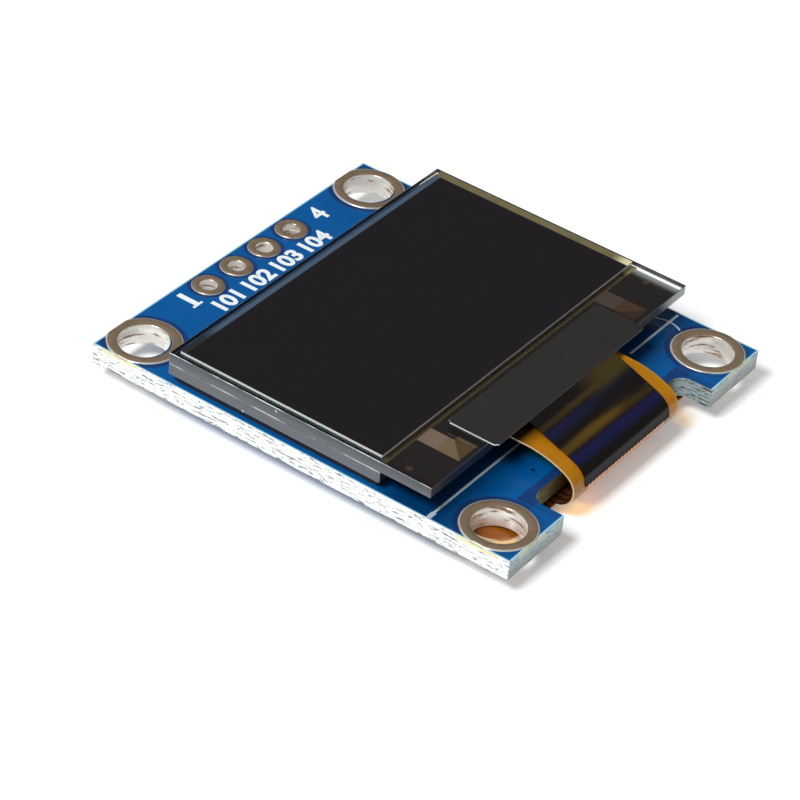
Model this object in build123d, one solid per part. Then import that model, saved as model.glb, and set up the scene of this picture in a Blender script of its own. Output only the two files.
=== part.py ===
from build123d import *
from math import acos, atan2, cos, degrees, hypot, radians, sin, tan
import os

# A small display module: a glass display panel stuck on a blue circuit board, with its
# folded flexible circuit passing round a notch and soldered to the back of the board.
# Millimetres. +X runs along the row of header holes, +Y points to the edge that carries
# them, +Z is the side that is looked at. The origin is the centre of the four mounting
# holes, on the back face of the bare board.

# Board
board_width = 24.7
board_length = 27.0
board_thickness = 1.2
copper_thickness = 0.05

# Mounting holes, with their tinned rings
hole_margin_side = 2.0
hole_margin_header = 1.7
hole_margin_flex = 2.0
hole_radius = 1.5
ring_radius = 2.1
plating_wall = 0.06
plating_clearance = 0.01

# Header holes
header_count = 4
header_pitch = 2.54
header_margin = 1.15
header_hole_radius = 0.5
header_pad_radius = 0.95

# Notch for the flexible circuit
notch_ring_gap = 0.9
notch_depth = 2.1
notch_corner_radius = 0.8

# Display panel, from the board up. It is as wide as the board.
tape_thickness = 0.54
tape_inset = 0.35
panel_end_gap = 5.05
cap_side_inset = 0.05
cap_thickness = 0.7
ledge_depth = 3.15
seal_thickness = 0.05
seal_inset = 0.1
seal_side_width = 0.85
seal_header_width = 0.75
seal_ledge_width = 0.3
front_glass_thickness = 0.65
glass_edge_break = 0.06
polarizer_thickness = 0.15
polarizer_side_inset = 0.35
polarizer_header_inset = 0.5
polarizer_overlap = 0.2

# Pieces on the ledge of the front glass
chip_side_gap = 1.45
chip_length = 0.95
chip_thickness = 0.3
chip_gap = 0.45
patch_thickness = 0.02
patch_length = 2.65
patch_width = 1.7
patch_step = 0.4
patch_step_length = 1.45
patch_side_inset = 3.2
mark_radius = 0.2
mark_sides = 8
mark_side_inset = 0.95
mark_step = 1.13
coat_thickness = 0.02
coat_side_margin = 0.25
coat_front_margin = 0.2
coat_chip_gap = 0.1

# Dark tape over the ledge
shield_side_inset = 5.15
shield_start = 0.5
shield_overhang = 0.5
shield_thickness = 0.08
shield_corner_cut = 0.2

# Flexible circuit
flex_notch_gap = 2.2
flex_thickness = 0.1
flex_bond_length = 1.2
flex_bond_gap = 0.02
flex_upper_radius = 6.0
flex_upper_turn = 25.0
flex_middle_radius = 1.4
flex_middle_turn = 50.0
flex_reach = 1.3
flex_sag = 0.2
flex_sag_rise = 8.0
tail_side_inset = 2.05
tail_front_reach = 0.35
tail_length = 5.0
tail_corner_radius = 1.9
tail_layer_start = 165

# Dark film on the outside of the flexible circuit
film_side_margin = 1.0
film_thickness = 0.05
film_tuck = 0.05
film_end = 88.0

# Copper tracks of the flexible circuit and its soldered end. The widths are shares of the pitch.
track_count = 24
track_side_margin = 0.42
track_fill = 0.5
track_thickness = 0.02
track_tuck = 2.0
track_finger = 1.4
land_side_margin = 0.93
land_fill = 0.5
land_reach = 0.75
land_overlap = 0.9
solder_height = 0.09
solder_overlap = 0.7
solder_toe_gap = 0.06

# Chip capacitors and resistors on the back
chip_part_length = 1.6
chip_part_width = 0.8
terminal_length = 0.32
terminal_skin = 0.03
capacitor_height = 0.8
resistor_height = 0.45
solder_fillet = 0.28
capacitor_count = 6
resistor_count = 4
row_pitch = 2.5

# Voltage regulator on the back
regulator_width = 2.9
regulator_length = 1.3
regulator_height = 1.0
regulator_standoff = 0.08
regulator_draft = 7.0
lead_pitch = 1.9
lead_width = 0.4
lead_thickness = 0.13
lead_reach = 0.55
lead_foot = 0.35

# Places and heights that follow from the sizes above
hole_pitch_x = board_width - 2 * hole_margin_side
hole_pitch_y = board_length - hole_margin_header - hole_margin_flex
board_top_y = hole_pitch_y / 2 + hole_margin_header
board_bottom_y = board_top_y - board_length
board_centre_y = (board_top_y + board_bottom_y) / 2
notch_width = hole_pitch_x - 2 * (ring_radius + notch_ring_gap)
notch_inner_y = board_bottom_y + notch_depth
header_y = board_top_y - header_margin
drill_radius = hole_radius + plating_wall + plating_clearance
header_drill_radius = header_hole_radius + plating_wall + plating_clearance

panel_half_width = board_width / 2
panel_top_y = board_top_y - panel_end_gap
panel_front_y = board_bottom_y + panel_end_gap
cap_front_y = panel_front_y + ledge_depth
shield_width = board_width - 2 * shield_side_inset
chip_width = shield_width - 2 * chip_side_gap
cap_z = board_thickness + tape_thickness
seal_z = cap_z + cap_thickness
glass_z = seal_z + seal_thickness
glass_top_z = glass_z + front_glass_thickness

# The flexible circuit turns down in three tangent arcs, each a centre (y, z), a radius and the
# angle from the top at which it ends. It hangs a little below the board, then rises to its tail.
flex_top_z = glass_z - flex_bond_gap - flex_thickness / 2
flex_tail_z = -copper_thickness - flex_thickness / 2
upper_turn = radians(flex_upper_turn)
middle_turn = radians(flex_middle_turn)
sag_rise = radians(flex_sag_rise)
fold_bottom_z = flex_tail_z - flex_sag
fold_drop = flex_top_z - fold_bottom_z
upper_drop = flex_upper_radius * (1 - cos(upper_turn))
middle_drop = flex_middle_radius * (cos(upper_turn) - cos(middle_turn))
flex_lower_radius = (fold_drop - upper_drop - middle_drop) / (1 + cos(middle_turn))
lower_centre = (notch_inner_y - flex_reach + flex_lower_radius, fold_bottom_z + flex_lower_radius)
middle_step = flex_middle_radius - flex_lower_radius
middle_centre = (
    lower_centre[0] + middle_step * sin(middle_turn),
    lower_centre[1] - middle_step * cos(middle_turn),
)
upper_step = flex_upper_radius - flex_middle_radius
upper_centre = (
    middle_centre[0] + upper_step * sin(upper_turn),
    middle_centre[1] - upper_step * cos(upper_turn),
)
fold = [
    (upper_centre, flex_upper_radius, flex_upper_turn),
    (middle_centre, flex_middle_radius, flex_middle_turn),
    (lower_centre, flex_lower_radius, 180 + flex_sag_rise),
]
rise_start_y = lower_centre[0] + flex_lower_radius * sin(sag_rise)
rise_start_z = lower_centre[1] - flex_lower_radius * cos(sag_rise)
rise_end_y = rise_start_y + (flex_tail_z - rise_start_z) / tan(sag_rise)

# The dark film runs straight from the tape to where it touches the fold
film_inner = flex_thickness / 2 + track_thickness
film_outer = film_inner + film_thickness
film_start_y = panel_front_y - shield_overhang + film_tuck
film_reach = hypot(film_start_y - upper_centre[0], glass_top_z - upper_centre[1])
film_rise = degrees(
    acos((flex_upper_radius + film_outer) / film_reach)
    - atan2(film_start_y - upper_centre[0], glass_top_z - upper_centre[1])
)

tail_front_y = notch_inner_y - tail_front_reach
tail_end_y = tail_front_y + tail_length
flex_width = notch_width - 2 * flex_notch_gap
tail_width = board_width - 2 * tail_side_inset
film_width = flex_width - 2 * film_side_margin
track_pitch = (film_width - 2 * track_side_margin) / (track_count - 1 + track_fill)
track_width = track_fill * track_pitch
track_z = flex_tail_z - flex_thickness / 2
land_pitch = (tail_width - 2 * land_side_margin) / (track_count - 1 + land_fill)
land_width = land_fill * land_pitch

# The capacitors, the resistors and the regulator share the free length of the back evenly
land_end_y = tail_end_y + land_reach
chip_row_length = chip_part_length + 2 * solder_fillet
regulator_row_length = regulator_length + 2 * lead_reach
free_length = header_y - header_pad_radius - land_end_y
row_gap = (free_length - 2 * chip_row_length - regulator_row_length) / 4
capacitor_row_y = land_end_y + row_gap + chip_row_length / 2
resistor_row_y = capacitor_row_y + chip_row_length + row_gap
regulator_y = resistor_row_y + chip_row_length / 2 + row_gap + regulator_row_length / 2

hole_places = [
    (x * hole_pitch_x / 2, y * hole_pitch_y / 2) for y in (1, -1) for x in (-1, 1)
]
header_places = [
    ((i - (header_count - 1) / 2) * header_pitch, header_y) for i in range(header_count)
]


def block(x_low, x_high, y_low, y_high, z_low, z_high):
    """A box given by its lowest and highest corners."""
    size = (x_high - x_low, y_high - y_low, z_high - z_low)
    centre = ((x_low + x_high) / 2, (y_low + y_high) / 2, (z_low + z_high) / 2)
    return Pos(*centre) * Box(*size)


def slab(outline, z_low, z_high):
    """A flat outline made solid between two heights."""
    return Pos(0, 0, z_low) * extrude(outline, amount=z_high - z_low)


def group(solids):
    """Separate solids kept in one file."""
    return Compound(children=list(solids))


def in_row(count, pitch):
    """Centred places along a row."""
    return [(i - (count - 1) / 2) * pitch for i in range(count)]


# Board

def board_outline():
    """The rectangle of the board, less the notch with its rounded inner corners."""
    outline = Pos(0, board_centre_y) * Rectangle(board_width, board_length)
    notch = Pos(0, board_bottom_y) * Rectangle(notch_width, 2 * notch_depth)
    inner = notch.vertices().group_by(Axis.Y)[-1]
    return outline - fillet(inner, notch_corner_radius)


def circuit_board():
    outline = board_outline()
    for place in hole_places:
        outline -= Pos(*place) * Circle(drill_radius)
    for place in header_places:
        outline -= Pos(*place) * Circle(header_drill_radius)
    return slab(outline, 0, board_thickness)


def eyelet(place, inner, outer):
    """A plated hole: the barrel through the board, with a flat ring on each face."""
    barrel = Pos(0, 0, -copper_thickness) * Cylinder(
        inner + plating_wall,
        board_thickness + 2 * copper_thickness,
        align=(Align.CENTER, Align.CENTER, Align.MIN),
    )
    front = slab(Circle(outer), board_thickness, board_thickness + copper_thickness)
    back = slab(Circle(outer), -copper_thickness, 0)
    hole = Cylinder(inner, 4 * board_thickness)
    return Pos(*place, 0) * (barrel + front + back - hole)


def mounting_ring(place):
    """The ring of a mounting hole, cut off where it meets the edge of the board."""
    trim = slab(board_outline(), -board_thickness, 2 * board_thickness)
    return eyelet(place, hole_radius, ring_radius) & trim


def header_eyelet(place):
    return eyelet(place, header_hole_radius, header_pad_radius)


# Display panel

def mounting_tape():
    half = panel_half_width - cap_side_inset - tape_inset
    back = panel_top_y - tape_inset
    return block(-half, half, cap_front_y + tape_inset, back, board_thickness, cap_z)


def broken_edges(glass):
    """Takes the sharpness off the long edges of a glass plate."""
    return chamfer(glass.faces().sort_by(Axis.Z)[-1].edges(), glass_edge_break)


def cap_glass():
    half = panel_half_width - cap_side_inset
    return block(-half, half, cap_front_y, panel_top_y, cap_z, seal_z)


def seal_window():
    """The inner edge of the seal, which the dark display layers fill."""
    half = panel_half_width - seal_inset - seal_side_width
    return -half, half, cap_front_y + seal_ledge_width, panel_top_y - seal_inset - seal_header_width


def edge_seal():
    half = panel_half_width - seal_inset
    ring = block(-half, half, cap_front_y, panel_top_y - seal_inset, seal_z, glass_z)
    return ring - block(*seal_window(), seal_z - seal_thickness, glass_z + seal_thickness)


def display_film():
    return block(*seal_window(), seal_z, glass_z)


def front_glass():
    plate = block(-panel_half_width, panel_half_width, panel_front_y, panel_top_y, glass_z, glass_top_z)
    return broken_edges(plate)


def polarizer():
    half = panel_half_width - polarizer_side_inset
    front = cap_front_y + polarizer_overlap
    back = panel_top_y - polarizer_header_inset
    return block(-half, half, front, back, glass_top_z, glass_top_z + polarizer_thickness)


def driver_chip():
    back = cap_front_y - chip_gap
    return block(-chip_width / 2, chip_width / 2, back - chip_length, back, glass_z - chip_thickness, glass_z)


def ledge_coat():
    """A thin black coat over the patches and marks, left open round the chip and the circuit's bond."""
    half = panel_half_width - coat_side_margin
    low = glass_z - patch_thickness - coat_thickness
    high = glass_z - patch_thickness
    coat = block(-half, half, panel_front_y + coat_front_margin, cap_front_y, low, high)
    half_gap = max(chip_width, flex_width) / 2 + coat_chip_gap
    chip_back = cap_front_y - chip_gap + coat_chip_gap
    return coat - block(-half_gap, half_gap, panel_front_y, chip_back, low, high)


def ledge_patch(side):
    """A gold patch on the under side of the ledge, with a step on its inner side."""
    back = cap_front_y
    front = back - patch_length
    outer = side * (panel_half_width - patch_side_inset)
    inner = outer - side * patch_width
    notch = inner + side * patch_step
    edge = Polyline(
        (outer, back),
        (outer, front),
        (inner, front),
        (inner, front + patch_length - patch_step_length),
        (notch, front + patch_length - patch_step_length),
        (notch, back),
        close=True,
    )
    return slab(make_face(edge), glass_z - patch_thickness, glass_z)


def alignment_mark(side):
    """A dot of metal under the glass, so small that a few straight sides make it look round."""
    x = side * (panel_half_width - mark_side_inset)
    spot = Pos(x, cap_front_y - mark_step) * RegularPolygon(mark_radius, mark_sides)
    return slab(spot, glass_z - patch_thickness, glass_z)


def shield_tape():
    length = ledge_depth - shield_start + shield_overhang
    centre_y = panel_front_y - shield_overhang + length / 2
    outline = Pos(0, centre_y) * Rectangle(shield_width, length)
    outline = chamfer(outline.vertices(), shield_corner_cut)
    return slab(outline, glass_top_z, glass_top_z + shield_thickness)


# Flexible circuit

def fold_point(angle, offset):
    """A point of the fold, seen from the side, at an angle from its top and an offset outwards."""
    centre, radius = next((centre, radius) for centre, radius, end in fold if angle <= end)
    reach = radius + offset
    return centre[0] - reach * sin(radians(angle)), centre[1] + reach * cos(radians(angle))


def fold_arcs(start, end, offset):
    """The curve of the fold between two angles, as tangent arcs."""
    stops = [start] + [turn for _, _, turn in fold if start < turn < end] + [end]
    return [
        ThreePointArc(fold_point(a, offset), fold_point((a + b) / 2, offset), fold_point(b, offset))
        for a, b in zip(stops, stops[1:])
    ]


def sheet_section(inner, outer, curve):
    """The section of a sheet between two offsets. curve gives its edges at an offset, in order."""
    first, second = curve(inner), curve(outer)
    ends = [Line(first[0] @ 0, second[0] @ 0), Line(first[-1] @ 1, second[-1] @ 1)]
    return Plane.YZ * make_face(first + second + ends)


def folded_strip(width, start, end, inner, outer, start_y=None, centre_x=0):
    """A strip that follows the fold, after a straight run from start_y if that is given."""

    def curve(offset):
        arcs = fold_arcs(start, end, offset)
        if start_y is None:
            return arcs
        y, z = fold_point(start, offset)
        return [Line((start_y, z + (start_y - y) * tan(radians(start))), (y, z))] + arcs

    return Pos(centre_x, 0, 0) * extrude(sheet_section(inner, outer, curve), amount=width / 2, both=True)


def tail_layer(inner, outer):
    """A wide sheet that follows the bottom of the fold, its rise and the flat tail behind it."""

    def curve(offset):
        kink = (rise_end_y + offset * tan(sag_rise / 2), flex_tail_z - offset)
        rise = Line(fold_point(180 + flex_sag_rise, offset), kink)
        flat = Line(kink, (tail_end_y, flex_tail_z - offset))
        return fold_arcs(tail_layer_start, 180 + flex_sag_rise, offset) + [rise, flat]

    return extrude(sheet_section(inner, outer, curve), amount=tail_width / 2, both=True)


def tail_outline():
    """The wide end under the board, with rounded front corners, and its neck up to the fold."""
    centre_y = (tail_front_y + tail_end_y) / 2
    outline = Pos(0, centre_y) * Rectangle(tail_width, tail_length)
    front = outline.vertices().group_by(Axis.Y)[0]
    neck_length = tail_front_y - lower_centre[0] + tail_corner_radius
    neck = Pos(0, lower_centre[0] + neck_length / 2) * Rectangle(flex_width, neck_length)
    return fillet(front, tail_corner_radius) + neck


def flex_circuit():
    half = flex_thickness / 2
    bend = folded_strip(flex_width, 0, 180, -half, half, panel_front_y + flex_bond_length)
    tail = tail_layer(-half, half) & slab(tail_outline(), fold_bottom_z - flex_thickness, 0)
    return bend + tail


def flex_film():
    """The dark film, from under the edge of the tape down to the fold, and on round it."""
    return folded_strip(film_width, film_rise, film_end, film_inner, film_outer, film_start_y)


def flex_track(index, layer):
    """One copper track: round the fold, then fanned out on the tail and widened to meet its land."""
    fold_x = in_row(track_count, track_pitch)[index]
    land_x = in_row(track_count, land_pitch)[index]
    start = film_end - track_tuck
    bend = folded_strip(track_width, start, 180, flex_thickness / 2, film_inner, centre_x=fold_x)
    narrow = track_width / 2
    wide = land_width / 2
    stations = [
        (fold_x, lower_centre[0], narrow),
        (fold_x, rise_end_y, narrow),
        (land_x, tail_end_y - track_finger, wide),
        (land_x, tail_end_y, wide),
    ]
    left = [(x - half, y) for x, y, half in stations]
    right = [(x + half, y) for x, y, half in reversed(stations)]
    plan = make_face(Polyline(*left, *right, close=True))
    return bend + (layer & slab(plan, fold_bottom_z - flex_thickness, 0))


def flex_tracks():
    layer = tail_layer(flex_thickness / 2, film_inner)
    return group(flex_track(i, layer) for i in range(track_count))


def flex_lands():
    """The row of tinned pads on the back of the board that the tail is soldered to."""
    half = land_width / 2
    return group(
        block(x - half, x + half, tail_end_y - land_overlap, land_end_y, -copper_thickness, 0)
        for x in in_row(track_count, land_pitch)
    )


def solder_joint(x):
    """A wedge of solder that runs from the end of a track, over the end of the tail, to its land."""
    under = track_z - track_thickness
    edge = Polyline(
        (tail_end_y - solder_overlap, under),
        (tail_end_y, under - solder_height),
        (land_end_y - solder_toe_gap, -copper_thickness),
        (tail_end_y, -copper_thickness),
        (tail_end_y, under),
        close=True,
    )
    section = Plane.YZ * make_face(edge)
    return Pos(x, 0, 0) * extrude(section, amount=land_width / 2, both=True)


def flex_solder():
    return group(solder_joint(x) for x in in_row(track_count, land_pitch))


# Small parts on the back

def terminal_lands(x, y):
    """The two lands of a chip part that lies along Y."""
    size_y = terminal_length + solder_fillet
    step = chip_part_length / 2 + solder_fillet - size_y / 2
    return [(x, y + side * step, chip_part_width, size_y) for side in (-1, 1)]


def lead_places():
    """Two leads on the side away from the header row, and one in the middle of the other side."""
    return [(-lead_pitch / 2, -1), (lead_pitch / 2, -1), (0, 1)]


def lead_land(x, side):
    foot_y = regulator_y + side * (regulator_length / 2 + lead_reach - lead_foot / 2)
    return x, foot_y, lead_width + 4 * lead_thickness, 2 * lead_foot


def component_lands():
    lands = [lead_land(x, side) for x, side in lead_places()]
    for x in in_row(capacitor_count, row_pitch):
        lands += terminal_lands(x, capacitor_row_y)
    for x in in_row(resistor_count, row_pitch):
        lands += terminal_lands(x, resistor_row_y)
    return lands


def part_lands():
    return group(
        slab(Pos(x, y) * Rectangle(size_x, size_y), -copper_thickness, 0)
        for x, y, size_x, size_y in component_lands()
    )


def chip_body(x, y, height):
    """The ceramic block between the two end caps."""
    half_x = chip_part_width / 2 - terminal_skin
    half_y = chip_part_length / 2 - terminal_length
    top = -copper_thickness - terminal_skin
    return block(x - half_x, x + half_x, y - half_y, y + half_y, top - height + 2 * terminal_skin, top)


def chip_terminals(x, y, height):
    """The two metal end caps, each with the sloping solder that joins it to its land."""
    caps = []
    for side in (-1, 1):
        tip = chip_part_length / 2
        root = tip - terminal_length
        edge = Polyline(
            (side * root, -copper_thickness),
            (side * root, -copper_thickness - height),
            (side * tip, -copper_thickness - height),
            (side * tip, -copper_thickness - height / 2),
            (side * (tip + solder_fillet), -copper_thickness),
            close=True,
        )
        section = Plane.YZ * make_face(edge)
        caps.append(Pos(x, y, 0) * extrude(section, amount=chip_part_width / 2, both=True))
    return group(caps)


def regulator_body():
    """A moulded block with sides that draw in towards its top, which points away from the board."""
    size = Rectangle(regulator_width, regulator_length)
    half_height = regulator_height / 2
    middle_z = -copper_thickness - regulator_standoff - half_height
    upper = extrude(Pos(0, regulator_y, middle_z) * size, amount=half_height, taper=regulator_draft)
    lower = extrude(Pos(0, regulator_y, middle_z) * size, amount=-half_height, taper=regulator_draft)
    return upper + lower


def regulator_lead(x, side):
    """A bent lead: out of the middle of the body, down, and flat on its land."""
    middle_z = -copper_thickness - regulator_standoff - regulator_height / 2
    half = lead_thickness / 2
    wall = regulator_length / 2
    knee = wall + lead_reach - lead_foot
    tip = wall + lead_reach
    foot_z = -copper_thickness
    edge = Polyline(
        (side * wall, middle_z - half),
        (side * (knee + lead_thickness), middle_z - half),
        (side * (knee + lead_thickness), foot_z - lead_thickness),
        (side * tip, foot_z - lead_thickness),
        (side * tip, foot_z),
        (side * knee, foot_z),
        (side * knee, middle_z + half),
        (side * wall, middle_z + half),
        close=True,
    )
    section = Plane.YZ * make_face(edge)
    return Pos(x, regulator_y, 0) * extrude(section, amount=lead_width / 2, both=True)


def regulator_leads():
    return group(regulator_lead(x, side) for x, side in lead_places())


nodes = {
    "circuit_board": circuit_board(),
    "mounting_tape": mounting_tape(),
    "cap_glass": cap_glass(),
    "edge_seal": edge_seal(),
    "display_film": display_film(),
    "front_glass": front_glass(),
    "polarizer": polarizer(),
    "driver_chip": driver_chip(),
    "ledge_coat": ledge_coat(),
    "ledge_patch_left": ledge_patch(-1),
    "ledge_patch_right": ledge_patch(1),
    "alignment_mark_left": alignment_mark(-1),
    "alignment_mark_right": alignment_mark(1),
    "shield_tape": shield_tape(),
    "flex_circuit": flex_circuit(),
    "flex_film": flex_film(),
    "flex_tracks": flex_tracks(),
    "flex_lands": flex_lands(),
    "flex_solder": flex_solder(),
    "part_lands": part_lands(),
    "regulator_body": regulator_body(),
    "regulator_leads": regulator_leads(),
}
for number, place in enumerate(hole_places, 1):
    nodes[f"mounting_ring_{number}"] = mounting_ring(place)
for number, place in enumerate(header_places, 1):
    nodes[f"header_eyelet_{number}"] = header_eyelet(place)
for number, x in enumerate(in_row(capacitor_count, row_pitch), 1):
    nodes[f"capacitor_{number}_body"] = chip_body(x, capacitor_row_y, capacitor_height)
    nodes[f"capacitor_{number}_terminals"] = chip_terminals(x, capacitor_row_y, capacitor_height)
for number, x in enumerate(in_row(resistor_count, row_pitch), 1):
    nodes[f"resistor_{number}_body"] = chip_body(x, resistor_row_y, resistor_height)
    nodes[f"resistor_{number}_terminals"] = chip_terminals(x, resistor_row_y, resistor_height)

os.makedirs("parts", exist_ok=True)
for name, shape in nodes.items():
    export_step(shape, f"parts/{name}.step")
print(len(nodes), "nodes")
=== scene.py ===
# %% [markdown]
# A small display module, dressed for its portrait
#
# The solids of this module come from a CAD program and arrive as a fixed frame: a blue circuit
# board, two plates of display glass, a folded flexible circuit and the small parts on the back.
# This lesson gives them their finishes, and it adds what a CAD model seldom has: white print,
# rounded tin, and glass with fine chamfers and thin layers behind it.

# %% Load the frame
import math

import bmesh
import bpy
from mathutils import Matrix, Vector


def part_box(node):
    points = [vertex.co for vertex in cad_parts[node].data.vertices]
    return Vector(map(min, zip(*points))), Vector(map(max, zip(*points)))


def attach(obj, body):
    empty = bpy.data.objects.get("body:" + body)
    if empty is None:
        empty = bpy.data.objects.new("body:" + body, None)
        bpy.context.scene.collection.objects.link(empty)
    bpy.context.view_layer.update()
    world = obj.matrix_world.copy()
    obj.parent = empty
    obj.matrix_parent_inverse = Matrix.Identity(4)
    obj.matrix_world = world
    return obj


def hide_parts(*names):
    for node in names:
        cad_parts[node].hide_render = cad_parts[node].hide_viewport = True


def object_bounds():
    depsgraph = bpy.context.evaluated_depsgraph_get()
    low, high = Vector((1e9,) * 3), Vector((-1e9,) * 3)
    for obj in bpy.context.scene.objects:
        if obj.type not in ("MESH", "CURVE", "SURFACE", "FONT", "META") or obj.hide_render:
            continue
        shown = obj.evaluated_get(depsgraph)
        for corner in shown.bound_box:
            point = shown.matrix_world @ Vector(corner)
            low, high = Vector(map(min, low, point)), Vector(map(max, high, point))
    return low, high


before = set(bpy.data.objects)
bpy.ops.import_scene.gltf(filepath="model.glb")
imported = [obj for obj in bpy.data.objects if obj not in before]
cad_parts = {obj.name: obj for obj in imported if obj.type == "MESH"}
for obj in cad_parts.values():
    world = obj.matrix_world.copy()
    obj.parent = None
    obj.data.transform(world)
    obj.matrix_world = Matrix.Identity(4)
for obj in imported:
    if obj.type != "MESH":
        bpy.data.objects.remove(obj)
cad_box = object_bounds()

print(len(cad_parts), "solids, in a box from", tuple(cad_box[0]), "to", tuple(cad_box[1]))

# %% [markdown] Blender works in metres and this object is the size of a stamp, so sizes are
# written in millimetres and turned into metres at the last moment.

# %% Millimetres, and the places of the main solids
MM = 0.001
NUMBERS = (1, 2, 3, 4)


def box_mm(node):
    """The lowest and highest corner of a solid, in millimetres."""
    low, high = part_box(node)
    return low / MM, high / MM


def middle_of(node):
    """The middle of a solid seen from above, as a pair of millimetres."""
    low, high = box_mm(node)
    return tuple(((low + high) / 2).xy)


board_low, board_high = box_mm("circuit_board")
glass_low, glass_high = box_mm("front_glass")
cap_low, cap_high = box_mm("cap_glass")
film_low, film_high = box_mm("display_film")
polarizer_low, polarizer_high = box_mm("polarizer")
board_top = board_high.z
hole_places = [middle_of(f"mounting_ring_{number}") for number in NUMBERS]
pin_places = [middle_of(f"header_eyelet_{number}") for number in NUMBERS]
print("board top at", round(board_top, 3), "mm, glass top at", round(glass_high.z, 3), "mm")
print("rings at", [tuple(round(value, 2) for value in place) for place in hole_places])

# %% [markdown]
# The camera stands where the photographer's stood. A long lens from about 185 mm away flattens
# the perspective, as in most product pictures. Its direction is written as two angles round
# the object and a small roll, and three crossed vectors turn them into a rotation. The shift
# moves the picture in its frame without turning the camera.

# %% Camera
AIM = Vector((-1.18, 1.95, 1.2))
AZIMUTH = math.radians(-58.478)
ELEVATION = math.radians(35.419)
ROLL = math.radians(7.029)
DISTANCE = 185.12
PICTURE_SIDE = 800
FOCAL_PIXELS = 3414.0
AXIS_PIXEL = (386.9, 340.5)

back = Vector(
    (
        math.sin(AZIMUTH) * math.cos(ELEVATION),
        -math.cos(AZIMUTH) * math.cos(ELEVATION),
        math.sin(ELEVATION),
    )
)
level = Vector((math.cos(AZIMUTH), math.sin(AZIMUTH), 0))
upright = back.cross(level)
right = math.cos(ROLL) * level + math.sin(ROLL) * upright
up = back.cross(right)

camera_data = bpy.data.cameras.new("portrait_camera")
camera_data.sensor_width = 36
camera_data.lens = FOCAL_PIXELS / PICTURE_SIDE * camera_data.sensor_width
camera_data.shift_x = (PICTURE_SIDE / 2 - AXIS_PIXEL[0]) / PICTURE_SIDE
camera_data.shift_y = (AXIS_PIXEL[1] - PICTURE_SIDE / 2) / PICTURE_SIDE
camera_data.clip_start = 0.01
camera_data.clip_end = 10
camera = bpy.data.objects.new("portrait_camera", camera_data)
turn = Matrix((right, up, back)).transposed().to_4x4()
camera.matrix_world = Matrix.Translation((AIM + back * DISTANCE) * MM) @ turn
bpy.context.scene.collection.objects.link(camera)
bpy.context.scene.camera = camera
print("lens", round(camera_data.lens, 1), "mm, camera at", tuple(round(v, 4) for v in camera.location))

# %% [markdown]
# Colours are easiest to write as a picture editor shows them, from 0 to 255. Shaders count in
# linear light, where half the number is half the light, so each colour is converted once.

# %% Colours
def srgb(red, green, blue):
    """A colour as picture editors write it, turned into linear light."""

    def linear(value):
        share = value / 255
        return share / 12.92 if share <= 0.04045 else ((share + 0.055) / 1.055) ** 2.4

    return linear(red), linear(green), linear(blue), 1.0


print("white as the shaders see it:", srgb(255, 255, 255))

# %% [markdown]
# A finish is a small tree of nodes that ends in one Principled shader. Adding nodes by hand
# takes four or five lines each, so this helper gives each kind of node one short call.
# Coordinates come in millimetres of the object itself: a pattern then has its real scale and
# stays on the piece when the piece moves.

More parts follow.
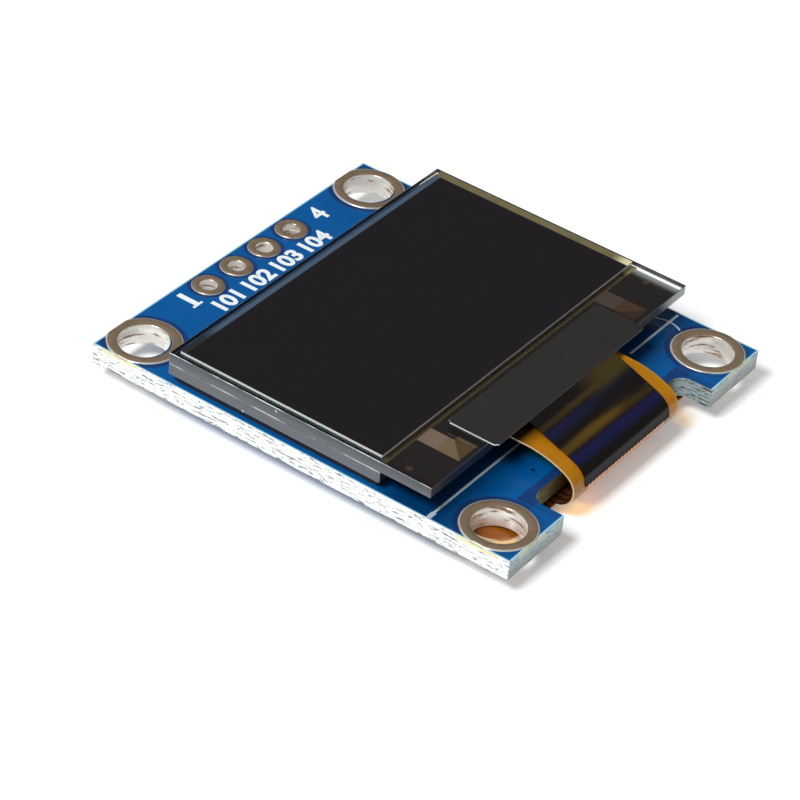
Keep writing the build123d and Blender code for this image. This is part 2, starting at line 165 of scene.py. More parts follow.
# %% A helper that writes materials
class Recipe:
    """A material and short calls for the nodes that its tree needs."""

    def __init__(self, name, **settings):
        self.material = bpy.data.materials.new(name)
        self.material.use_nodes = True
        self.tree = self.material.node_tree
        self.shader = self.tree.nodes["Principled BSDF"]
        self.output = self.tree.nodes["Material Output"]
        self.coords = self.node("ShaderNodeTexCoord")
        self.place = self.vector("SCALE", self.coords.outputs["Object"], scale=1 / MM)
        split = self.node("ShaderNodeSeparateXYZ")
        self.feed(split.inputs[0], self.place)
        self.x, self.y, self.z = split.outputs
        facing = self.node("ShaderNodeSeparateXYZ")
        self.feed(facing.inputs[0], self.coords.outputs["Normal"])
        self.facing_x, self.facing_y, self.facing_z = facing.outputs
        self.finish(**settings)

    def node(self, kind, **settings):
        made = self.tree.nodes.new(kind)
        for key, value in settings.items():
            setattr(made, key, value)
        return made

    def feed(self, socket, value):
        """A number or colour is set on the socket itself, and another node's output is linked."""
        if isinstance(value, bpy.types.NodeSocket):
            self.tree.links.new(value, socket)
        else:
            socket.default_value = value

    def finish(self, **settings):
        """Sets the shader's inputs by name, with underscores for spaces."""
        for key, value in settings.items():
            self.feed(self.shader.inputs[key.replace("_", " ")], value)
        return self

    def vector(self, operation, a, b=(0, 0, 0), scale=1.0):
        made = self.node("ShaderNodeVectorMath", operation=operation)
        self.feed(made.inputs[0], a)
        self.feed(made.inputs[1], b)
        self.feed(made.inputs[3], scale)
        return made.outputs["Value" if operation in ("LENGTH", "DISTANCE") else "Vector"]

    def calc(self, operation, a, b=0.0, c=0.0):
        made = self.node("ShaderNodeMath", operation=operation)
        for socket, value in zip(made.inputs, (a, b, c)):
            self.feed(socket, value)
        return made.outputs[0]

    def step(self, value, low, high, start=0.0, end=1.0):
        """A smooth step: start below low, end above high."""
        made = self.node("ShaderNodeMapRange", interpolation_type="SMOOTHSTEP")
        for socket, number in zip(made.inputs, (value, low, high, start, end)):
            self.feed(socket, number)
        return made.outputs[0]

    def fall(self, value, low, high):
        """A smooth step down: 1 below low, 0 above high."""
        return self.step(value, low, high, 1.0, 0.0)

    def band(self, value, start, full, fading, end):
        """Grows from 0 at start to 1 at full, and falls from 1 at fading to 0 at end."""
        return self.calc("MULTIPLY", self.step(value, start, full), self.fall(value, fading, end))

    def noise(self, size, detail=2.0, stretch=(1, 1, 1), roughness=0.5):
        """Noise with lumps of about that size, in millimetres, stretched along the axes."""
        pulled = self.vector("DIVIDE", self.place, tuple(size * s for s in stretch))
        made = self.node("ShaderNodeTexNoise")
        self.feed(made.inputs["Vector"], pulled)
        self.feed(made.inputs["Scale"], 1.0)
        self.feed(made.inputs["Detail"], detail)
        self.feed(made.inputs["Roughness"], roughness)
        return made.outputs["Fac"]

    def mix(self, share, a, b):
        made = self.node("ShaderNodeMix", data_type="RGBA")
        self.feed(made.inputs[0], share)
        self.feed(made.inputs[6], a)
        self.feed(made.inputs[7], b)
        return made.outputs[2]

    def nearest(self, centres):
        """The distance to the nearest of several points of the plan, in millimetres."""
        flat = self.vector("MULTIPLY", self.place, (1, 1, 0))
        best = None
        for x, y in centres:
            away = self.vector("DISTANCE", flat, (x, y, 0))
            best = away if best is None else self.calc("MINIMUM", best, away)
        return best

    def outside(self, x_low, x_high, y_low, y_high):
        """How far a point of the plan lies outside a rectangle. It is negative inside."""
        left_of = self.calc("SUBTRACT", x_low, self.x)
        right_of = self.calc("SUBTRACT", self.x, x_high)
        before = self.calc("SUBTRACT", y_low, self.y)
        behind = self.calc("SUBTRACT", self.y, y_high)
        across = self.calc("MAXIMUM", left_of, right_of)
        return self.calc("MAXIMUM", across, self.calc("MAXIMUM", before, behind))

    def bump(self, height, depth):
        """Raises the surface by the height, a share from 0 to 1, times a depth in millimetres."""
        made = self.node("ShaderNodeBump")
        self.feed(made.inputs["Strength"], 1.0)
        self.feed(made.inputs["Distance"], depth * MM)
        self.feed(made.inputs["Height"], height)
        return self.finish(Normal=made.outputs[0])

    def ray(self, *kinds):
        """1 where the ray is of one of these kinds, and 0 elsewhere."""
        path = self.node("ShaderNodeLightPath")
        found = path.outputs[kinds[0]]
        for kind in kinds[1:]:
            found = self.calc("MAXIMUM", found, path.outputs[kind])
        return found

    def clear_where(self, share, colour=(1, 1, 1, 1)):
        """Plain transparency, tinted with a colour, takes a share of the surface."""
        clear = self.node("ShaderNodeBsdfTransparent")
        self.feed(clear.inputs["Color"], colour)
        both = self.node("ShaderNodeMixShader")
        self.feed(both.inputs[0], share)
        self.feed(both.inputs[1], self.shader.outputs[0])
        self.feed(both.inputs[2], clear.outputs[0])
        self.feed(self.output.inputs["Surface"], both.outputs[0])

    def put_on(self, *names):
        for name in names:
            slots = bpy.data.objects[name].data.materials
            slots.clear()
            slots.append(self.material)
        return self


print("calls of a recipe:", [name for name in vars(Recipe) if not name.startswith("_")])

# %% [markdown]
# The stage is one pale floor, larger than any view needs. The module stands on the parts of
# its back, so the floor touches its lowest point. A floor that only reflects light turns grey
# far from the lamp. This one adds a little light of its own for the camera, for mirrors and
# for glass, which makes the open floor white and keeps the shadows. From below it is
# transparent, so that the back of the module can be looked at.

# %% Floor
FLOOR_SIDE = 3000
FLOOR_GREY = 0.94
FLOOR_GLOW = 0.2


def new_piece(name, mesh):
    """A mesh of bmesh turned into an object at the origin, in the scene's collection."""
    data = bpy.data.meshes.new(name)
    mesh.to_mesh(data)
    mesh.free()
    piece = bpy.data.objects.new(name, data)
    bpy.context.scene.collection.objects.link(piece)
    return piece


floor_mesh = bmesh.new()
bmesh.ops.create_grid(floor_mesh, x_segments=1, y_segments=1, size=FLOOR_SIDE * MM / 2)
bmesh.ops.translate(floor_mesh, verts=floor_mesh.verts, vec=(0, 0, cad_box[0].z))
floor = new_piece("floor", floor_mesh)

floor_paint = Recipe("floor_paint", Roughness=0.9, Specular_IOR_Level=0.0)
seen = floor_paint.ray("Is Camera Ray", "Is Glossy Ray", "Is Transmission Ray")
floor_paint.finish(
    Base_Color=(FLOOR_GREY, FLOOR_GREY, FLOOR_GREY, 1),
    Emission_Color=(1, 1, 1, 1),
    Emission_Strength=floor_paint.calc("MULTIPLY", seen, FLOOR_GLOW),
)
floor_paint.clear_where(floor_paint.node("ShaderNodeNewGeometry").outputs["Backfacing"])
floor_paint.put_on("floor")
print("floor at", round(cad_box[0].z / MM, 3), "mm")

# %% [markdown]
# One soft lamp stands off the module's left edge and a little towards its pin holes. Its size
# against its distance sets how soft the shadows are.

# %% Lamp
LAMP_AZIMUTH = math.radians(172)
LAMP_ELEVATION = math.radians(51)
LAMP_DISTANCE = 400
LAMP_SIDE = 110
LAMP_WATTS = 1.5
LAMP_COLOUR = (0.95, 0.985, 1.0)

towards_lamp = Vector(
    (
        math.cos(LAMP_AZIMUTH) * math.cos(LAMP_ELEVATION),
        math.sin(LAMP_AZIMUTH) * math.cos(LAMP_ELEVATION),
        math.sin(LAMP_ELEVATION),
    )
)
lamp_data = bpy.data.lights.new("key_lamp", "AREA")
lamp_data.size = LAMP_SIDE * MM
lamp_data.energy = LAMP_WATTS
lamp_data.color = LAMP_COLOUR
lamp = bpy.data.objects.new("key_lamp", lamp_data)
lamp.location = towards_lamp * LAMP_DISTANCE * MM
lamp.rotation_euler = towards_lamp.to_track_quat("Z", "Y").to_euler()
bpy.context.scene.collection.objects.link(lamp)
print("lamp at", tuple(round(v, 3) for v in lamp.location))

# %% [markdown]
# The world fills the rest, a little warmer than the lamp. It lights the scene with an even grey
# and looks white to the camera. It is dark in reflections and through glass, because the black
# glass of a display mirrors whatever stands beyond it.

# %% World
FILL = 0.36
FILL_WARMTH = (1.0, 0.975, 0.94)
DARK_ROOM = 0.07

world = bpy.data.worlds.new("room")
bpy.context.scene.world = world
world.use_nodes = True
room = world.node_tree


def room_mix(share, a, b):
    """One colour or another in the world's tree, as the share is 0 or 1."""
    made = room.nodes.new("ShaderNodeMix")
    made.data_type = "RGBA"
    room.links.new(share, made.inputs[0])
    for socket, value in ((made.inputs[6], a), (made.inputs[7], b)):
        if isinstance(value, bpy.types.NodeSocket):
            room.links.new(value, socket)
        else:
            socket.default_value = value
    return made.outputs[2]


room_ray = room.nodes.new("ShaderNodeLightPath")
mirror_ray = room.nodes.new("ShaderNodeMath")
mirror_ray.operation = "MAXIMUM"
room.links.new(room_ray.outputs["Is Glossy Ray"], mirror_ray.inputs[0])
room.links.new(room_ray.outputs["Is Transmission Ray"], mirror_ray.inputs[1])
fill_colour = (*(FILL * share for share in FILL_WARMTH), 1)
fill_or_dark = room_mix(mirror_ray.outputs[0], fill_colour, (DARK_ROOM, DARK_ROOM, DARK_ROOM, 1))
white_for_camera = room_mix(room_ray.outputs["Is Camera Ray"], fill_or_dark, (1, 1, 1, 1))
room.links.new(white_for_camera, room.nodes["Background"].inputs["Color"])
bpy.context.scene.view_settings.view_transform = "Standard"
print("world:", len(room.nodes), "nodes")

# %% [markdown]
# The board is one solid, but it shows three finishes: glossy blue solder mask on its faces,
# pale sawn fibreglass on its outer edges and darker routed fibreglass in the notch. The shader
# tells them apart by where a point lies and which way the surface faces there. Under the mask
# lies a sheet of copper that stops short of the holes and the notch, and the mask looks
# brighter where the copper is.

# %% Where the copper under the mask ends
RING_RADIUS = 2.1
RING_CLEAR = 0.3
PAD_RADIUS = 0.95
PAD_CLEAR = 0.22
NOTCH_HALF_WIDTH = 7.35
NOTCH_DEPTH = 2.1
NOTCH_CLEAR = 0.5
COPPER_EDGE = 0.06
WELL_PAST = 5

notch_end = board_low.y + NOTCH_DEPTH
notch_mouth = board_low.y - WELL_PAST
board = Recipe("board_finish")
from_ring = board.calc("SUBTRACT", board.nearest(hole_places), RING_RADIUS + RING_CLEAR)
from_pad = board.calc("SUBTRACT", board.nearest(pin_places), PAD_RADIUS + PAD_CLEAR)
beside_notch = board.outside(-NOTCH_HALF_WIDTH, NOTCH_HALF_WIDTH, notch_mouth, notch_end)
from_notch = board.calc("SUBTRACT", beside_notch, NOTCH_CLEAR)
clear_of_all = board.calc("MINIMUM", board.calc("MINIMUM", from_ring, from_pad), from_notch)
poured = board.step(clear_of_all, -COPPER_EDGE, COPPER_EDGE)
print("copper stops", RING_CLEAR, "mm before a ring and", NOTCH_CLEAR, "mm before the notch")

# %% [markdown]
# The mask itself is a clear blue lacquer. Near the display, whose glass stands over it, a
# painted shade darkens it. It is darker over the one small plated hole, and it stops just
# before the sawn edge.

# %% Solder mask
PRONG_FADE = (-0.7, -0.3)
GLASS_SHADE = (-2.6, -0.1, 2.0, 4.0)
SHADE_SHARE = 0.62
VIA_PLACE = (-5.26, -10.34)
VIA_RADIUS = 0.15
MASK_MARGIN = 0.12

over_copper = board.mix(board.noise(3.0, detail=3), srgb(0, 78, 143), srgb(0, 93, 162))
past_prongs = board.step(board.y, *(notch_end + distance for distance in PRONG_FADE))
over_laminate = board.mix(past_prongs, srgb(4, 76, 134), srgb(18, 58, 114))
mask_blue = board.mix(poured, over_laminate, over_copper)
# Painted shade: the mask is darkened in a band in front of the display's glass.
painted_glass_shade = board.band(board.y, *(glass_low.y + distance for distance in GLASS_SHADE))
mask_blue = board.mix(board.calc("MULTIPLY", painted_glass_shade, SHADE_SHARE), mask_blue, srgb(2, 20, 44))
via = board.fall(board.nearest([VIA_PLACE]), VIA_RADIUS * 0.7, VIA_RADIUS)
mask_blue = board.mix(via, mask_blue, srgb(2, 34, 66))
from_board = board.outside(board_low.x, board_high.x, board_low.y, board_high.y)
past_mask = board.step(from_board, -MASK_MARGIN, -MASK_MARGIN / 2)
mask_blue = board.mix(past_mask, mask_blue, srgb(160, 208, 226))
print("mask stops", MASK_MARGIN, "mm before the board's edge")

# %% [markdown]
# Sawn laminate shows its layers of glass cloth end on: short grey and brown dashes, in rows,
# on white. Noise that is stretched along the board and squeezed through its thickness gives
# such dashes, a sine wave through the thickness lines them up, and finer noise breaks them up.
# Where a ring was sawn off with the board, its metal shows as a pale strip under the edge.

# %% Sawn edges
ROW_PITCH = 0.25
ROW_SHARE = 0.05
CRUMB_SHARE = 0.2
DASH_LEVELS = (0.645, 0.715)
STRIP_DEPTH = 0.22
STRIP_BLUR = 0.03
STRIP_REACH = (0.28, 0.34)
MASK_DEPTH = 0.05
MASK_BLUR = 0.02
LOW_SHADE = (0.1, 1.0)
FRONT_FACES = (-0.7, -0.4)

threads = board.noise(1.0, detail=3, stretch=(0.45, 0.45, 0.07), roughness=0.55)
crumbs = board.noise(0.16, detail=2, stretch=(1.6, 1.6, 0.6))
rows = board.calc("SINE", board.calc("MULTIPLY", board.z, 2 * math.pi / ROW_PITCH))
cloth = board.calc("ADD", threads, board.calc("MULTIPLY", crumbs, CRUMB_SHARE))
cloth = board.calc("ADD", cloth, board.calc("MULTIPLY", rows, ROW_SHARE))
dashes = board.step(cloth, *DASH_LEVELS)
dash_colour = board.mix(board.noise(0.8, detail=1), srgb(120, 134, 142), srgb(146, 128, 108))
side_edge = board.mix(dashes, srgb(246, 250, 248), dash_colour)
# Painted shade: the front sides, turned away from the lamp, get a darker teal mottle, and are painted
# darker still low down.
shaded_front_mottle = board.mix(board.noise(0.5, detail=3), srgb(214, 230, 234), srgb(156, 184, 194))
shaded_front_mottle = board.mix(board.fall(board.z, *LOW_SHADE), shaded_front_mottle, srgb(168, 172, 164))
shaded_front_edge = board.mix(dashes, shaded_front_mottle, srgb(128, 144, 150))
sawn = board.mix(board.fall(board.facing_y, *FRONT_FACES), side_edge, shaded_front_edge)
beside_ring = [RING_RADIUS + reach for reach in STRIP_REACH]
near_ring = board.fall(board.nearest(hole_places), *beside_ring)
strip_low = board_top - STRIP_DEPTH
under_face = board.step(board.z, strip_low - STRIP_BLUR, strip_low)
sawn = board.mix(board.calc("MULTIPLY", near_ring, under_face), sawn, srgb(226, 218, 172))
sawn = board.mix(board.fall(board.z, MASK_DEPTH - MASK_BLUR, MASK_DEPTH), sawn, srgb(74, 112, 128))
print("rows of cloth every", ROW_PITCH, "mm")

# %% [markdown]
# The notch was cut by a router bit, which leaves a duller wall than the saw. Behind the fold
# the wall stands in amber light, so there it is brown.

# %% Routed notch
NOTCH_SLACK = 0.1
NOTCH_BLUR = 0.05
FOLD_SHADE = (6.3, 7.1)

notch_side = NOTCH_HALF_WIDTH + NOTCH_SLACK
round_notch = board.outside(-notch_side, notch_side, notch_mouth, notch_end + NOTCH_SLACK)
in_notch = board.fall(round_notch, -NOTCH_BLUR, 0.0)
behind_fold = board.fall(board.calc("ABSOLUTE", board.x), *FOLD_SHADE)
routed_pale = board.mix(crumbs, srgb(84, 102, 108), srgb(188, 204, 206))
routed_dark = board.mix(crumbs, srgb(66, 58, 30), srgb(150, 136, 84))
routed = board.mix(dashes, board.mix(behind_fold, routed_pale, routed_dark), srgb(52, 46, 30))
print("notch", 2 * NOTCH_HALF_WIDTH, "by", NOTCH_DEPTH, "mm")

# %% [markdown]
# Now the parts are put together. Faces that look up or down get the gloss of the lacquer, and
# all others the roughness of cut fibreglass. The copper sheet lifts the mask a little.

# %% Board finish
CUT_ROUGHNESS = 0.65
MASK_ROUGHNESS = 0.2
COPPER_RELIEF = 0.6
RELIEF_DEPTH = 0.03
LEVEL_FACES = (0.6, 0.8)

flat = board.step(board.calc("ABSOLUTE", board.facing_z), *LEVEL_FACES)
board.finish(
    Base_Color=board.mix(flat, board.mix(in_notch, sawn, routed), mask_blue),
    Roughness=board.step(flat, 0, 1, CUT_ROUGHNESS, MASK_ROUGHNESS),
)
lifted = board.calc("MULTIPLY", flat, board.calc("MULTIPLY", poured, COPPER_RELIEF))
rough_cut = board.calc("MULTIPLY", board.calc("SUBTRACT", 1.0, flat), crumbs)
board.bump(board.calc("ADD", lifted, rough_cut), RELIEF_DEPTH)
board.put_on("circuit_board")
print("board finish:", len(board.tree.nodes), "nodes")

# %% [markdown]
# A tinned ring is copper that went through molten solder, so it has no sharp corner: its face
# swells and its inner lip is round. A profile of a few points, spun round the hole's axis,
# gives the whole eyelet at once. Where the ring meets the edge of the board it was sawn off
# with it, and a plane cuts the mesh there and closes it.

# %% Tinned rings and pads
HOLE_RADIUS = 1.5
PIN_RADIUS = 0.5
PLATING = 0.04
TIN_HEIGHT = 0.03
LIP = 0.07
RIM_DROP = 0.02
SUNK = 0.05
WALL = 0.06
RING_SWELL = 0.03
PAD_SWELL = 0.05
SPIN_STEPS = 72


def eyelet_profile(inner, outer, swell):
    """Points of an eyelet's section, as radius and height, from the middle of the hole up and round."""
    top = board_top + TIN_HEIGHT
    upper = [
        (inner, board_top / 2),
        (inner, top - LIP),
        (inner + 0.3 * LIP, top - 0.3 * LIP),
        (inner + LIP, top + 0.6 * swell),
        ((inner + outer) / 2, top + swell),
        (outer - 0.6 * LIP, top + 0.7 * swell),
        (outer, top - RIM_DROP),
        (outer, board_top - SUNK),
        (inner + WALL, board_top - SUNK),
        (inner + WALL, board_top / 2),
    ]
    lower = [(radius, board_top - height) for radius, height in reversed(upper[1:-1])]
    return upper + lower


def saw_off(mesh, axis, limit, outwards):
    """Cuts a mesh along one edge of the board and closes the cut."""
    point, normal = Vector(), Vector()
    point[axis] = limit * MM
    normal[axis] = outwards
    geometry = mesh.verts[:] + mesh.edges[:] + mesh.faces[:]
    cut = bmesh.ops.bisect_plane(mesh, geom=geometry, plane_co=point, plane_no=normal, clear_outer=True)
    rim = [edge for edge in cut["geom_cut"] if isinstance(edge, bmesh.types.BMEdge)]
    bmesh.ops.holes_fill(mesh, edges=rim)


def eyelet(name, node, centre, inner, outer, swell):
    """A rounded eyelet round a hole, which takes the place of the plain one."""
    made = bmesh.new()
    profile = eyelet_profile(inner, outer, swell)
    corners = [made.verts.new((radius * MM, 0, height * MM)) for radius, height in profile]
    edges = [made.edges.new(pair) for pair in zip(corners, corners[1:] + corners[:1])]
    bmesh.ops.spin(
        made, geom=corners + edges, cent=(0, 0, 0), axis=(0, 0, 1), angle=2 * math.pi,
        steps=SPIN_STEPS, use_merge=True,
    )
    bmesh.ops.remove_doubles(made, verts=made.verts, dist=1e-7)
    bmesh.ops.translate(made, verts=made.verts, vec=(centre[0] * MM, centre[1] * MM, 0))
    bmesh.ops.recalc_face_normals(made, faces=made.faces)
    for axis, limit in ((0, board_high.x), (0, board_low.x), (1, board_high.y), (1, board_low.y)):
        if abs(centre[axis] - limit) <= outer:
            saw_off(made, axis, limit, math.copysign(1, limit - centre[axis]))
    for face in made.faces:
        face.smooth = True
    piece = new_piece(name, made)
    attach(piece, "root")
    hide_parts(node)
    return piece


tinned = []
for number, place in zip(NUMBERS, hole_places):
    names = f"tinned_ring_{number}", f"mounting_ring_{number}"
    tinned.append(eyelet(*names, place, HOLE_RADIUS - PLATING, RING_RADIUS, RING_SWELL))
for number, place in zip(NUMBERS, pin_places):
    names = f"tinned_pad_{number}", f"header_eyelet_{number}"
    tinned.append(eyelet(*names, place, PIN_RADIUS - PLATING / 2, PAD_RADIUS, PAD_SWELL))
print("eyelets:", sum(len(piece.data.polygons) for piece in tinned), "faces")

# %% [markdown]
# Tinned copper is a soft, slightly dull mirror with warm stains. Half of its light comes from a
# mirror and half from a rough skin, so the faces look satin. The walls of the holes are painted
# brighter, a painted highlight, and carry brown streaks round them, where flux dried. The round
# rim of a large ring gets a pale line, a painted highlight where it catches the light.

# %% Tin
RIM_HIGHLIGHT = (-0.12, -0.06, 0.1, 0.2)
STREAKS = (0.54, 0.66)
WALL_FACES = (0.4, 0.85)
MOST_NOISE = (0.3, 0.7)
STAIN_ROUGHNESS = (0.25, 0.42)
TIN_RELIEF = 0.012

tin = Recipe("tinned_copper", Metallic=0.5)
stain = tin.noise(0.7, detail=4)
streaks = tin.step(tin.noise(1.0, detail=3, stretch=(1.2, 1.2, 0.16)), *STREAKS)
wall = tin.fall(tin.calc("ABSOLUTE", tin.facing_z), *WALL_FACES)
face_colour = tin.mix(stain, srgb(178, 154, 129), srgb(136, 113, 90))
# Painted highlight: the walls of the holes are painted near white.
wall_highlight_and_streaks = tin.mix(streaks, srgb(246, 242, 236), srgb(150, 116, 86))
# Painted highlight: a pale line round the rim of each large ring.
rim_highlight = tin.band(tin.nearest(hole_places), *(RING_RADIUS + offset for offset in RIM_HIGHLIGHT))
face_colour = tin.mix(rim_highlight, face_colour, srgb(232, 226, 216))
tin.finish(
    Base_Color=tin.mix(wall, face_colour, wall_highlight_and_streaks),
    Roughness=tin.step(stain, *MOST_NOISE, *STAIN_ROUGHNESS),
)
tin.bump(tin.noise(0.35, detail=2), TIN_RELIEF)
tin.put_on(*(piece.name for piece in tinned))
print("tin on", len(tinned), "pieces")

# %% [markdown]
# White print lies on the mask as a thin skin of ink. A straight line is a flat block with its
# edges bevelled. Ink that crosses other ink is a little thinner, because two faces at the same
# height would flicker.

# %% Straight lines of print
INK = 0.015
THIN_INK = 0.8 * INK
LINE_WIDTH = 0.15
LINE_Y = -8.55
LINE_SPANS = {"left": (-12.2, -3.8), "right": (7.1, 12.1)}
LINE_END = ((-12.25, LINE_Y - 0.15), (-11.7, LINE_Y + 0.13))


def ink_block(name, low, high, depth=INK):
    """A flat block of ink on the board between two corners of the plan."""
    made = bmesh.new()
    bmesh.ops.create_cube(made, size=1)
    size = Vector((high[0] - low[0], high[1] - low[1], depth))
    middle = Vector(((low[0] + high[0]) / 2, (low[1] + high[1]) / 2, board_top + depth / 2))
    bmesh.ops.scale(made, vec=size * MM, verts=made.verts)
    bmesh.ops.translate(made, vec=middle * MM, verts=made.verts)
    bmesh.ops.bevel(
        made, geom=made.edges[:], offset=INK / 3 * MM, segments=1, profile=0.5,
        affect="EDGES", material=-1,
    )
    piece = new_piece(name, made)
    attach(piece, "root")
    return piece


printed = []
for side, (start, end) in LINE_SPANS.items():
    corners = (start, LINE_Y - LINE_WIDTH / 2), (end, LINE_Y + LINE_WIDTH / 2)
    printed.append(ink_block(f"print_line_{side}", *corners))
printed.append(ink_block("print_line_end", *LINE_END, THIN_INK))
print("lines:", [piece.name for piece in printed])

# %% [markdown]
# One line is a short arc. Its section is a small upright rectangle, and bmesh spins it part of
# the way round the arc's centre.

# %% Curved line of print
ARC_CENTRE = (9.73, -8.52)
ARC_RADIUS = 1.47
ARC_WIDTH = 0.105
ARC_HALF_ANGLE = math.radians(37)
ARC_STEPS = 16


def ink_arc(name):
    """A thin curved line of ink, as long as twice the half angle."""
    made = bmesh.new()
    stand_up = Matrix.Rotation(math.pi / 2, 3, "X")
    to_start = Matrix.Rotation(-ARC_HALF_ANGLE, 3, "Z")
    bmesh.ops.create_grid(made, x_segments=1, y_segments=1, size=0.5)
    bmesh.ops.scale(made, vec=(ARC_WIDTH * MM, THIN_INK * MM, 1), verts=made.verts)
    bmesh.ops.rotate(made, verts=made.verts, cent=(0, 0, 0), matrix=stand_up)
    section_middle = Vector((ARC_RADIUS, 0, board_top + THIN_INK / 2))
    bmesh.ops.translate(made, verts=made.verts, vec=section_middle * MM)
    bmesh.ops.rotate(made, verts=made.verts, cent=(0, 0, 0), matrix=to_start)
    bmesh.ops.spin(
        made, geom=made.verts[:] + made.edges[:] + made.faces[:], cent=(0, 0, 0), axis=(0, 0, 1),
        angle=2 * ARC_HALF_ANGLE, steps=ARC_STEPS, use_merge=False,
    )
    bmesh.ops.translate(made, verts=made.verts, vec=Vector((*ARC_CENTRE, 0)) * MM)
    bmesh.ops.recalc_face_normals(made, faces=made.faces)
    piece = new_piece(name, made)
    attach(piece, "root")
    return piece


printed.append(ink_arc("print_arc"))
print("arc:", len(printed[-1].data.polygons), "faces")

# %% [markdown]
# Digits are text curves turned into meshes. Only a mesh has vertices that can be put in place
# for good, so the curve is converted first and moved afterwards. The first pin's 1 has a foot,
# which this typeface lacks, so a small block is set under it.

# %% Printed digits
DIGIT_HEIGHT = 1.75
FIRST_PLACE = (-5.65, 12.1)
FIRST_FOOT = ((-6.05, 11.4), (-5.25, 11.56))
LAST_PLACE = (6.17, 12.0)
LABEL_HEIGHT = 1.45
LABEL_STRETCH = 1.1
LABEL_Y = 10.47
LABEL_SPREAD = 1.03
LABEL_SHIFT = -0.22


def ink_digits(name, text, centre, height, stretch=1.0, weight=0.0):
    """Digits of ink, centred on a point of the plan."""
    curve = bpy.data.curves.new(name, "FONT")
    curve.body = text
    curve.align_x = "CENTER"
    curve.align_y = "CENTER"
    curve.offset = weight
    curve.extrude = INK / 2 / height
    words = bpy.data.objects.new(name + "_curve", curve)
    bpy.context.scene.collection.objects.link(words)
    bpy.context.view_layer.update()
    mesh = bpy.data.meshes.new_from_object(words.evaluated_get(bpy.context.evaluated_depsgraph_get()))
    bpy.data.objects.remove(words)
    mesh.transform(Matrix.Diagonal((height * stretch * MM, height * MM, height * MM, 1)))
    mesh.transform(Matrix.Translation(Vector((*centre, board_top + INK / 2)) * MM))
    mesh.name = name
    piece = bpy.data.objects.new(name, mesh)
    bpy.context.scene.collection.objects.link(piece)
    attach(piece, "root")
    return piece


printed.append(ink_digits("print_first", "1", FIRST_PLACE, DIGIT_HEIGHT, weight=0.05))
printed.append(ink_block("print_first_foot", *FIRST_FOOT, THIN_INK))
printed.append(ink_digits("print_last", "4", LAST_PLACE, DIGIT_HEIGHT, weight=0.02))
for number, (x, _) in zip(NUMBERS, pin_places):
    place = (x * LABEL_SPREAD + LABEL_SHIFT, LABEL_Y)
    name = f"print_label_{number}"
    printed.append(ink_digits(name, f"10{number}", place, LABEL_HEIGHT, LABEL_STRETCH, 0.035))
print("print:", len(printed), "pieces")

# %% [markdown]
# The ink is a matt white that is never quite even. The lines in front of the display are
# painted greyer than the digits behind it, a painted shade from the display beside them.

# %% Ink
INK_SHADE = (LINE_Y + 1.2, LINE_Y + 1.6)

ink = Recipe("white_ink", Roughness=0.55)
fresh = ink.mix(ink.noise(0.25, detail=3), srgb(226, 234, 238), srgb(250, 252, 252))
# Painted shade: ink in front of the display is mixed towards grey.
ink.finish(Base_Color=ink.mix(ink.fall(ink.y, *INK_SHADE), fresh, srgb(172, 184, 194)))
ink.put_on(*(piece.name for piece in printed))
print("ink on", len(printed), "pieces")

# %% [markdown]
# A display is a sandwich of two plates of glass. Each plate is modelled again here as a block
# with a fine chamfer, a hair smaller than the solid that it stands for, because two surfaces
# in exactly the same place flicker in a render. The big faces are clear, the sawn sides are
# frosted grey, and the chamfers are painted as thin bright lines, a painted highlight: three
# materials on one mesh, chosen by the way each face looks.

# %% Glass plates
CHAMFER = 0.03
HAIR = 0.004
STRAIGHT = 0.9
CLEAR, SAWN, CHAMFERED = 0, 1, 2


def glass_finish(normal):
    """The number of the finish that a face of a plate gets."""
    if abs(normal.z) > STRAIGHT:
        return CLEAR
    if max(abs(normal.x), abs(normal.y)) > STRAIGHT:
        return SAWN
    return CHAMFERED


def glass_plate(name, node):
    """A chamfered plate a hair smaller than a solid, which takes the solid's place."""
    low, high = box_mm(node)
    size = high - low - 2 * Vector((HAIR, HAIR, HAIR))
    made = bmesh.new()
    bmesh.ops.create_cube(made, size=1)
    bmesh.ops.scale(made, vec=size * MM, verts=made.verts)
    bmesh.ops.translate(made, vec=(high + low) / 2 * MM, verts=made.verts)
    bmesh.ops.bevel(
        made, geom=made.edges[:], offset=CHAMFER * MM, segments=1, profile=0.5,
        affect="EDGES", material=-1,
    )
    bmesh.ops.recalc_face_normals(made, faces=made.faces)
    for face in made.faces:
        face.normal_update()
        face.material_index = glass_finish(face.normal)
    piece = new_piece(name, made)
    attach(piece, "root")
    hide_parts(node)
    return piece


front_plate = glass_plate("front_plate", "front_glass")
rear_plate = glass_plate("rear_plate", "cap_glass")
print("front plate", tuple(round(v, 2) for v in glass_high - glass_low), "mm")
print("rear plate", tuple(round(v, 2) for v in cap_high - cap_low), "mm")

# %% [markdown]
# Clear glass bends light, and a renderer finds few lamp rays through bent surfaces. So the
# glass counts as plainly transparent for shadow rays and for light bounced off matt things,
# which lets the light reach what lies under it, and it stays real glass for the eye.

# %% Clear glass
clear_glass = Recipe("clear_glass", Transmission_Weight=1.0, IOR=1.5, Roughness=0.0)
clear_glass.finish(Base_Color=srgb(252, 252, 251))
clear_glass.clear_where(clear_glass.ray("Is Shadow Ray", "Is Diffuse Ray"), srgb(246, 246, 245))
print("clear glass bends light by", clear_glass.shader.inputs["IOR"].default_value)

# %% [markdown]
# A sawn side is scratched along the plate. The left side is lightest low down. The front side
# of the ledge is painted dark for its shade and pale towards its right end for the light there,
# and the right side is painted pale for the light on it.

# %% Sawn glass and its chamfers
FRONT_FADE = (3.2, 0.4)
MINUS_FACES = (-0.8, -0.5)
PLUS_FACES = (0.5, 0.8)
NICKS = (0.72, 0.78)
GLINTS = (0.4, 0.65)
SHADED_RIM = (-0.6, -0.3)

